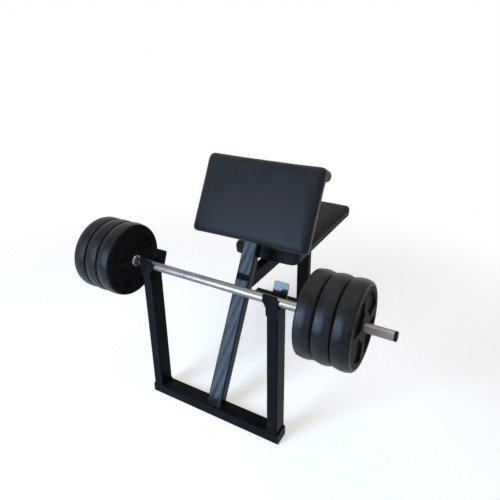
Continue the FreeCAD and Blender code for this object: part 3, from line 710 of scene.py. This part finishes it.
def local_box(node, where):
    """Lowest and highest corner of a node in a pad's own frame."""
    back = where.inverted()
    spots = np.array([back @ v.co for v in nodes[node].data.vertices])
    return Vector(spots.min(0)), Vector(spots.max(0))


for node, where in (("arm_pad_cushion", ARM_PAD), ("seat_cushion", SEAT)):
    low, high = local_box(node, where)
    print(node, [round(size / MM) for size in high - low], "mm")

# %% [markdown]
# A voxel remesh gives an even net over any closed shape, but it rounds the shape off. So its points
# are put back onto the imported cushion, and a few rounds of smoothing even them out. Plain smoothing
# shrinks a shape, so each round draws the points in and then pushes them back a little further.

# %% An even net over a cushion
DRAW_IN = 0.5
PUSH_BACK = -0.52


def active(piece):
    """Makes a piece the one that Blender's operators work on."""
    for other in bpy.context.selected_objects:
        other.select_set(False)
    bpy.context.view_layer.objects.active = piece
    piece.select_set(True)


def net_over(node, where, size):
    """An even net on the surface of a CAD cushion, in the pad's own frame."""
    mesh = nodes[node].data.copy()
    mesh.transform(where.inverted())
    form = bmesh.new()
    form.from_mesh(mesh)
    bmesh.ops.remove_doubles(form, verts=form.verts, dist=MERGE_GAP)
    form.to_mesh(mesh)
    solid = BVHTree.FromBMesh(form)
    form.free()
    piece = put("net", mesh)
    mesh.remesh_voxel_size = size
    active(piece)
    bpy.ops.object.voxel_remesh()
    for v in piece.data.vertices:
        v.co = solid.find_nearest(v.co)[0]
    return piece


def places(mesh):
    """The points of a mesh as an array with three columns."""
    spots = np.empty(len(mesh.vertices) * 3)
    mesh.vertices.foreach_get("co", spots)
    return spots.reshape(-1, 3)


def relax(mesh, free, rounds):
    """Evens out a net's free points without shrinking it."""
    spots = places(mesh)
    pairs = np.empty(len(mesh.edges) * 2, dtype=int)
    mesh.edges.foreach_get("vertices", pairs)
    a, b = pairs[0::2], pairs[1::2]
    count = np.bincount(pairs, minlength=len(spots))[:, None]
    for share in (DRAW_IN, PUSH_BACK) * rounds:
        total = np.zeros_like(spots)
        np.add.at(total, a, spots[b])
        np.add.at(total, b, spots[a])
        spots[free] += share * (total / count - spots)[free]
    mesh.vertices.foreach_set("co", spots.ravel())
    mesh.update()


# %% [markdown]
# Cloth under pressure bulges as a stuffed cover does: not at all where it is held, and most where
# it is far from there. A fine net would take long, so a coarse net swells and the fine one follows
# it. Only the outward part of each move is followed, because the cloth also draws the sides in,
# and foam keeps them out.

# %% Swelling as cloth
SLACK_NET = 10 * MM
PRESSURE = 4.0
FRAMES = 20
NEAREST = 6
NEAR_GAP = 0.5 * MM


def swelling(node, where, hold, cap):
    """How a coarse net swells as cloth under pressure: its points, and how far each moves out."""
    piece = net_over(node, where, SLACK_NET)
    grip = piece.vertex_groups.new(name="grip")
    grip.add([v.index for v in piece.data.vertices if hold(v.co)], 1.0, "REPLACE")
    rest = places(piece.data)
    cloth = piece.modifiers.new("swell", "CLOTH")
    cloth.settings.use_pressure = True
    cloth.settings.uniform_pressure_force = PRESSURE
    cloth.settings.vertex_group_mass = "grip"
    cloth.settings.effector_weights.gravity = 0
    cloth.collision_settings.use_collision = False
    cloth.point_cache.frame_start = 1
    cloth.point_cache.frame_end = FRAMES
    for number in range(1, FRAMES + 1):
        bpy.context.scene.frame_set(number)
    seen = bpy.context.evaluated_depsgraph_get()
    moves = places(piece.evaluated_get(seen).data) - rest
    bpy.context.scene.frame_set(1)
    normals = np.array([v.normal for v in piece.data.vertices])
    out = np.maximum((moves * normals).sum(1), 0.0)
    bpy.data.objects.remove(piece)
    print(node, len(rest), "points swell by up to", round(out.max() / MM, 1), "mm")
    return rest, out * cap / (cap + out)


def follow(mesh, free, rest, out):
    """Moves a fine net outwards as the coarse one near it moved."""
    tree = KDTree(len(rest))
    for index, spot in enumerate(rest):
        tree.insert(spot, index)
    tree.balance()
    normals = [v.normal.copy() for v in mesh.vertices]
    for v in mesh.vertices:
        if free[v.index]:
            near = tree.find_n(v.co, NEAREST)
            weights = np.array([1 / (gap + NEAR_GAP) for _, _, gap in near])
            moved = weights @ out[[i for _, i, _ in near]] / weights.sum()
            v.co += normals[v.index] * float(moved)


# %% [markdown]
# Two more things show that a pad is soft. Its sides are full, most of all at the far end, which
# on the arm pad is rolled over its board. And its front falls away a little towards the sides and
# the near end, where the cover pulls the foam down. Both are plain rules on the net's points.

# %% Full sides and an eased front
ROLLED_END = (0.84, 0.93)  # metres along a pad's own Y, where its far end begins
ROLL_EXTRA = 0.6
SIDE_RISE = 12 * MM
FALL_REACH = 38 * MM


def rise(value, low, high):
    """0 below low, 1 above high, and a smooth rise between."""
    share = min(1.0, max(0.0, (value - low) / (high - low)))
    return share * share * (3 - 2 * share)


def plump(mesh, free, edge, sides):
    """Fills the sides a little, less by the edge that grips the board and more at the far end."""
    grown = []
    for v in mesh.vertices:
        roll = rise(v.co.y, *ROLLED_END)
        share = max(rise(v.co.z, edge, edge + SIDE_RISE), roll) + ROLL_EXTRA * roll
        grown.append(v.co + v.normal * sides * share if free[v.index] else v.co.copy())
    for v, spot in zip(mesh.vertices, grown):
        v.co = spot


def ease_front(mesh, low, high, fall):
    """Lets the front fall away towards its sides and its near end."""
    for v in mesh.vertices:
        inside = min(v.co.x - low.x, high.x - v.co.x, v.co.y - low.y)
        near = max(0.0, 1 - max(0.0, inside) / FALL_REACH)
        v.co.z -= fall * near * near * rise(v.co.z, (low.z + high.z) / 2, high.z)


# %% [markdown]
# The points round the board and in the plane of the pad's back stay where they are, so that the
# cover still sits on its board. The rest goes through the steps above, and one level of subdivision
# smooths the result.

# %% The two covers
NET = 5 * MM
GRIP_ROOM = 2.5 * MM
BACK_EDGE = 6 * MM
BACK_REACH = 8 * MM
FIRST_ROUNDS = 4
LAST_ROUNDS = 6


def holds(board, where):
    """A test for the points of a cushion that grip its board or lie in the plane of its back."""
    room = Vector((GRIP_ROOM, GRIP_ROOM, GRIP_ROOM))
    low, high = local_box(board, where)
    least, most = low - room, high + room

    def test(p):
        beside = least.x < p.x < most.x and least.y < p.y < most.y
        in_hollow = beside and least.z < p.z < most.z
        at_back = least.z < p.z < low.z + BACK_EDGE and p.y < high.y + BACK_REACH
        return in_hollow or at_back

    return test


def cushion(node, board, name, where, cover_finish, cap, sides, fall):
    """A CAD cushion as a swollen, finely divided cover."""
    hold = holds(board, where)
    back = local_box(board, where)[0].z
    piece = net_over(node, where, NET)
    free = np.array([not hold(v.co) for v in piece.data.vertices])
    relax(piece.data, free, FIRST_ROUNDS)
    plump(piece.data, free, back + BACK_EDGE, sides)
    follow(piece.data, free, *swelling(node, where, hold, cap))
    spots = places(piece.data)
    low, high = Vector(spots.min(0)), Vector(spots.max(0))
    low.z = back
    ease_front(piece.data, low, high, fall)
    relax(piece.data, free, LAST_ROUNDS)
    finer = piece.modifiers.new("finer", "SUBSURF")
    finer.levels = finer.render_levels = 1
    cover = plain(piece, name)
    cover.data.shade_smooth()
    cover.data.materials.clear()
    cover.data.materials.append(cover_finish)
    settle(cover, where, "bench", "cover", node)


cushion(
    "arm_pad_cushion",
    "arm_pad_board",
    "arm_pad_cover",
    ARM_PAD,
    ARM_COVER,
    cap=3 * MM,
    sides=2.6 * MM,
    fall=5 * MM,
)
cushion(
    "seat_cushion",
    "seat_board",
    "seat_cover",
    SEAT,
    SEAT_COVER,
    cap=4 * MM,
    sides=0.8 * MM,
    fall=3 * MM,
)

# %% [markdown]
# ## Hems and staples
# An upholsterer folds the cover over the back of the board and staples it. Seen from behind or
# below, that hem hides the board's edge. It is a flat ring cut a little unevenly. A remesh would
# erase anything so thin, so its points and faces are written out directly.

# %% Hem rings
STRAP = 5 * MM
HEM_WIDE = 20 * MM
HEM_THICK = 1.0 * MM
HEM_OUT = 3 * MM
HEM_STEP = 8 * MM
HEM_WAVE = 0.5 * MM
HEM_RATES = (0.53, 0.19)
RING_SIDES = ((0, 1), (1, 3), (3, 2), (2, 0))


def ring_path(low, high, grow, corner, count=12):
    """A rectangle with round corners as a loop of points, grown or shrunk by a margin."""
    x0, x1 = low.x - grow + corner, high.x + grow - corner
    y0, y1 = low.y - grow + corner, high.y + grow - corner
    loop = []
    for quarter, (x, y) in enumerate(((x1, y1), (x0, y1), (x0, y0), (x1, y0))):
        for i in range(count + 1):
            t = math.radians(90 * (quarter + i / count))
            loop.append(Vector((x + corner * math.cos(t), y + corner * math.sin(t), 0)))
    return loop


def even(loop, gap):
    """Points at even steps round a closed loop."""
    made = []
    for a, b in zip(loop, loop[1:] + loop[:1]):
        count = max(1, round((b - a).length / gap))
        made += [a.lerp(b, i / count) for i in range(count)]
    return made


def held(value, limit):
    """A value kept between minus the limit and the limit."""
    return max(-limit, min(limit, value))


def hem(name, board, where, corner):
    """A flat ring on the back of a board, with a slightly wavy inner edge."""
    low, high = local_box(board, where)
    middle = (low + high) / 2
    half = (high - low) / 2
    outer = even(ring_path(low, high, HEM_OUT, corner), HEM_STEP)
    points, faces = [], []
    for index, spot in enumerate(outer):
        reach = HEM_WIDE + HEM_WAVE * sum(math.sin(index * rate) for rate in HEM_RATES)
        inner_x = held(spot.x - middle.x, half.x - reach) + middle.x
        inner_y = held(spot.y - middle.y, half.y - reach) + middle.y
        for x, y in ((spot.x, spot.y), (inner_x, inner_y)):
            points += [(x, y, STRAP), (x, y, STRAP - HEM_THICK)]
    count = len(outer)
    # Each step has four points: outer and inner, each on both sides of the hem.
    for i in range(count):
        a, b = 4 * i, 4 * ((i + 1) % count)
        faces += [(a + p, b + p, b + q, a + q) for p, q in RING_SIDES]
    mesh = bpy.data.meshes.new(name)
    mesh.from_pydata(points, [], faces)
    mesh.materials.append(HEM)
    piece = put(name, mesh)
    point_outwards(piece, sharp=50)
    settle(piece, where, "bench", "cover")


hem("arm_pad_hem", "arm_pad_board", ARM_PAD, corner=11 * MM)
hem("seat_hem", "seat_board", SEAT, corner=26 * MM)

# %% [markdown]
# The staples repeat along the hem, each a little askew because a hand held the stapler. Nodes can
# place them by rule: a loop is cut into even steps, and each step gets a wire turned along the loop
# and then by a small random angle. The seed is fixed, so the staples are the same in every run.

# %% A tree that sets staples along a loop
STAPLE = Vector((10, 1.2, 0.7)) * MM
STAPLE_PITCH = 28 * MM
STAPLE_SKEW = 0.2
STAPLE_SEED = 7
STAPLE_INPUTS = {
    "Pitch": ("Float", STAPLE_PITCH),
    "Staple": ("Vector", tuple(STAPLE)),
    "Skew": ("Float", STAPLE_SKEW),
    "Seed": ("Int", STAPLE_SEED),
    "Material": ("Material", None),
}


def spaced_along(tree, given):
    """Points at an even pitch along the given lines, and a rotation that lays X along them."""
    line = add(tree, "GeometryNodeMeshToCurve", {"Mesh": given["Geometry"]})
    spacing = {"Curve": line, "Length": given["Pitch"]}
    spaced = add(tree, "GeometryNodeResampleCurve", spacing, mode="LENGTH")
    along = add(tree, "GeometryNodeInputTangent")
    turn = add(tree, "FunctionNodeAlignRotationToVector", {"Vector": along}, axis="X")
    return spaced, turn


def staple_tree():
    """Sets a wire at every step along a loop, each turned by a small random angle."""
    tree = bpy.data.node_groups.new("staples", "GeometryNodeTree")
    given = inputs_of(tree, STAPLE_INPUTS)
    spaced, turn = spaced_along(tree, given)
    wire = add(tree, "GeometryNodeMeshCube", {"Size": given["Staple"]})
    least = sums(tree)("MULTIPLY", given["Skew"], -1.0)
    # The node has sockets for every kind of value, and only those of its own kind are enabled.
    skew = tree.nodes.new("FunctionNodeRandomValue")
    skew.data_type = "FLOAT"
    for socket, value in (("Min", least), ("Max", given["Skew"]), ("Seed", given["Seed"])):
        tree.links.new(value, next(s for s in skew.inputs if s.name == socket and s.enabled))
    chance = next(s for s in skew.outputs if s.enabled)
    spin = add(tree, "ShaderNodeCombineXYZ", (0.0, 0.0, chance))
    about = add(tree, "FunctionNodeEulerToRotation", (spin,))
    laid = add(tree, "FunctionNodeRotateRotation", {"Rotation": turn, "Rotate By": about})
    spread = {"Points": spaced, "Instance": wire, "Rotation": laid}
    close_tree(tree, add(tree, "GeometryNodeInstanceOnPoints", spread), given["Material"])
    return tree


STAPLES = staple_tree()
print(STAPLES.name, len(STAPLES.nodes), "nodes")

# %% [markdown]
# The line of staples runs along the middle of the hem, where it holds the fold best. The same tree
# serves both pads, and only the loop differs.

# %% Staples on both hems
STAPLE_LINE = 0.55  # share of the hem's width
STAPLE_SIZES = {
    "Pitch": STAPLE_PITCH,
    "Skew": STAPLE_SKEW,
    "Seed": STAPLE_SEED,
    "Material": ZINC,
}


def staples(name, board, where, corner):
    """A loop of staples on the hem of a board."""
    low, high = local_box(board, where)
    loop = ring_path(low, high, HEM_OUT - HEM_WIDE * STAPLE_LINE, corner)
    line = [(p.x, p.y, STRAP - HEM_THICK - STAPLE.z / 2) for p in loop]
    piece = from_tree(name, STAPLES, lines_mesh("loop", [line]), **STAPLE_SIZES)
    settle(piece, where, "bench", "bolt")


staples("arm_pad_staples", "arm_pad_board", ARM_PAD, corner=4 * MM)
staples("seat_staples", "seat_board", SEAT, corner=20 * MM)

# %% [markdown]
# ## Weld beads
# The tubes and plates are welded, and a bead of overlapping ripples runs round each joint under the
# coat. A bead could be one swept tube, but the ripples are what make it look welded, so nodes place
# a flattened ball every few millimetres along each joint's line.

# %% A tree that lays ripples along a line
WELD_PITCH = 2.8 * MM
WELD_INPUTS = {
    "Pitch": ("Float", WELD_PITCH),
    "Ripple": ("Vector", (3.0 * MM, 2.6 * MM, 2.6 * MM)),
    "Material": ("Material", None),
}
BALL = {"Segments": 8, "Rings": 6, "Radius": 1.0}


def weld_tree():
    """Lays flattened balls along lines, so close that they overlap."""
    tree = bpy.data.node_groups.new("weld_bead", "GeometryNodeTree")
    given = inputs_of(tree, WELD_INPUTS)
    spaced, turn = spaced_along(tree, given)
    ball = add(tree, "GeometryNodeMeshUVSphere", BALL)
    spread = {"Points": spaced, "Instance": ball, "Rotation": turn, "Scale": given["Ripple"]}
    close_tree(tree, add(tree, "GeometryNodeInstanceOnPoints", spread), given["Material"])
    return tree


WELD = weld_tree()
print(WELD.name, len(WELD.nodes), "nodes")

# %% [markdown]
# A weld follows the line where two pieces meet. Those lines could be drawn by hand as curves, but
# then they would stay behind when a size changes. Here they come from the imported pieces' boxes,
# and for the leaning post from its slope.

# %% Joint lines
POST_LEAN = math.radians(28)
POST_HALF = 30 * MM
POST_DEPTH = 40 * MM
TUBE_ROUND = 3 * MM
SADDLE_INSET = 6 * MM
STRAP_INSET = 4 * MM


def post_back(z):
    """Where the leaning post's back face is, at a height."""
    foot = POST_FRONT + POST_DEPTH / math.cos(POST_LEAN)
    return foot + (z - BASE_TOP) * math.tan(POST_LEAN)


def rectangle(x0, x1, y0, y1, z):
    """A joint round a tube, with its corners cut as the tube's are round."""
    cut = TUBE_ROUND
    corners = ((x0 + cut, y0), (x1 - cut, y0), (x1, y0 + cut), (x1, y1 - cut))
    corners += ((x1 - cut, y1), (x0 + cut, y1), (x0, y1 - cut), (x0, y0 + cut), (x0 + cut, y0))
    return [(x, y, z) for x, y in corners]


def rest_joints(side, sign):
    """Joints of an upright: round its foot, and where the plates of its rest meet it."""
    low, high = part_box(f"{side}_upright")
    foot = rectangle(low.x, high.x, low.y, high.y, low.z)
    # The upright's outer face is level with the base's end, so its foot has a bead on three sides.
    made = [foot[:6] if sign < 0 else foot[4:9] + foot[1:2]]
    for x in (high.x, low.x) if sign < 0 else (low.x, high.x):
        made.append([(x, low.y + SADDLE_INSET, high.z), (x, high.y - SADDLE_INSET, high.z)])
    lip_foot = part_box(f"{side}_lip_plate")[0].z
    guide_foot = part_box(f"{side}_guide_plate")[0].z
    for y, z in ((low.y, lip_foot), (high.y, guide_foot)):
        made.append([(low.x + TUBE_ROUND, y, z), (high.x - TUBE_ROUND, y, z)])
    return made


def strap_joints(straps, where, x0, x1):
    """Two joints along each strap, across the tube that carries it."""
    made = []
    for strap in straps:
        low, high = local_box(strap, where)
        for y in (low.y, high.y):
            made.append([where @ Vector((x, y, 0)) for x in (x0 + STRAP_INSET, x1 - STRAP_INSET)])
    return made


print("post's back at its foot", round(post_back(BASE_TOP) / MM, 1), "mm")

# %% [markdown]
# The beads run round the feet of the posts, along the plates of the rests, round the end of the
# seat beam, and along the straps behind and under the pads. All of them are one piece, because
# they all belong to the same welded frame.

# %% Beads on the frame
joints = [rectangle(-POST_HALF, POST_HALF, POST_FRONT, post_back(BASE_TOP), BASE_TOP)]
for side, sign in SIDES:
    joints += rest_joints(side, sign)
beam_low, beam_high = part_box("seat_beam")
x0, x1, z0, z1 = beam_low.x, beam_high.x, beam_low.z, beam_high.z
round_beam = ((x0, z0), (x1, z0), (x1, z1), (x0, z1), (x0, z0))
joints.append([(x, post_back(z), z) for x, z in round_beam])
rear_low, rear_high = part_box("rear_post")
for z in (rear_low.z, rear_high.z):
    joints.append(rectangle(rear_low.x, rear_high.x, rear_low.y, rear_high.y, z))
pad_straps = ("arm_pad_lower_strap", "arm_pad_upper_strap")
joints += strap_joints(pad_straps, ARM_PAD, -POST_HALF, POST_HALF)
seat_straps = ("seat_front_strap", "seat_rear_strap")
joints += strap_joints(seat_straps, SEAT, x0, x1)

lines = lines_mesh("joints", joints, closed=False)
beads = from_tree("weld_beads", WELD, lines, Pitch=WELD_PITCH, Material=COAT)
beads.data.shade_smooth()
settle(beads, Matrix.Identity(4), "bench", "frame")

# %% [markdown]
# ## Floor and light
# The object stands on a plain white ground without a horizon. A floor that bends up into a backdrop
# would do for one view, but this one is seen from all sides, so it is one wide flat sheet. Near the
# object it keeps the shadow, and further out it fades to the same white as the world. The camera,
# reflections and glass see that white, and the light on the object stays plain.

# %% Floor
FLOOR_REACH = 60.0
FLOOR_COLOUR = (0.90, 0.885, 0.87)
FLOOR_GLOW = 0.54
GLOW_COLOUR = (1, 0.97, 0.93, 1)
FADE_TO_WHITE = (0.9, 2.4)
WHITE = (1, 1, 1, 1)


def shown_rays(tree):
    """1 for rays of the camera, of reflections and through glass, and 0 for those that light."""
    do = sums(tree)
    path = tree.nodes.new("ShaderNodeLightPath").outputs
    opaque = do("MAXIMUM", path["Is Camera Ray"], path["Is Glossy Ray"])
    return do("MAXIMUM", opaque, path["Is Transmission Ray"])


def stage_floor():
    """A wide floor that shows the object's shadow near it and is plain white further out."""
    ends = (-FLOOR_REACH, FLOOR_REACH)
    mesh = bpy.data.meshes.new("floor")
    mesh.from_pydata([(x, y, 0) for y in ends for x in ends], [], [(0, 1, 3, 2)])
    floor = put("floor", mesh)
    material, tree, shader, place = finish("floor_paper", FLOOR_COLOUR, rough=0.9, shine=0.0)
    do = sums(tree)
    shown = shown_rays(tree)
    distance = add(tree, "ShaderNodeVectorMath", (place,), out="Value", operation="LENGTH")
    far = ramp(tree, distance, *FADE_TO_WHITE, smooth=True)
    tree.links.new(do("MULTIPLY", shown, FLOOR_GLOW), shader.inputs["Emission Strength"])
    shader.inputs["Emission Color"].default_value = GLOW_COLOUR
    white = add(tree, "ShaderNodeEmission", {"Color": WHITE, "Strength": 1.0})
    share = do("MULTIPLY", shown, far)
    faded = add(tree, "ShaderNodeMixShader", (share, shader.outputs[0], white))
    tree.links.new(faded, tree.nodes["Material Output"].inputs["Surface"])
    mesh.materials.append(material)
    print("floor", 2 * FLOOR_REACH, "m wide")


stage_floor()

# %% [markdown]
# A tall cool window to the front left gives the blue sheen on the plates and pads, a broad warm
# light hangs above, and the world fills in. A picture of a room could light the scene as well, but
# two lamps are easier to steer. Upright slats before the window draw the streaks that show in the
# post's glossy coat.

# %% Lamps and world
SLATS = 20
OPEN_SHARE = 0.5
WORLD_FILL = 0.10


def lamp(name, spot, aim, size, watts, colour):
    """A rectangular lamp at a spot, turned to its aim."""
    light = bpy.data.lights.new(name, "AREA")
    light.shape = "RECTANGLE"
    light.size, light.size_y = size
    light.energy = watts
    light.color = colour
    holder = put(name, light)
    holder.location = spot
    holder.rotation_mode = "QUATERNION"
    holder.rotation_quaternion = (Vector(aim) - Vector(spot)).to_track_quat("-Z", "Y")
    print(name, watts, "W")
    return light


def slats(light, count, open_share):
    """Upright slats before a lamp. The gaps shine more, so the light on the object is the same."""
    light.use_nodes = True
    tree = light.node_tree
    do = sums(tree)
    spot = add(tree, "ShaderNodeNewGeometry", out="Parametric")
    across = add(tree, "ShaderNodeSeparateXYZ", (spot,))
    bare = do("LESS_THAN", do("FRACT", do("MULTIPLY", across, count)), open_share)
    tree.links.new(do("DIVIDE", bare, open_share), tree.nodes["Emission"].inputs["Strength"])


def world_light(strength):
    """A world that is white to look at and lights the object with a given strength."""
    world = bpy.data.worlds.new("studio")
    bpy.context.scene.world = world
    world.use_nodes = True
    tree = world.node_tree
    tree.nodes.clear()
    level = ramp(tree, shown_rays(tree), 0.0, 1.0, strength, 1.0)
    sky = add(tree, "ShaderNodeBackground", {"Color": WHITE, "Strength": level})
    tree.links.new(sky, tree.nodes.new("ShaderNodeOutputWorld").inputs["Surface"])


window = lamp(
    "window",
    spot=(-0.92, -2.38, 1.25),
    aim=(-0.1, 0.1, 0.62),
    size=(1.3, 1.8),
    watts=124,
    colour=(0.44, 0.66, 1.0),
)
slats(window, SLATS, OPEN_SHARE)
lamp(
    "ceiling",
    spot=(0.3, 0.3, 3.2),
    aim=(0, 0.3, 0.4),
    size=(2.6, 2.6),
    watts=28,
    colour=(1.0, 0.95, 0.88),
)
world_light(WORLD_FILL)
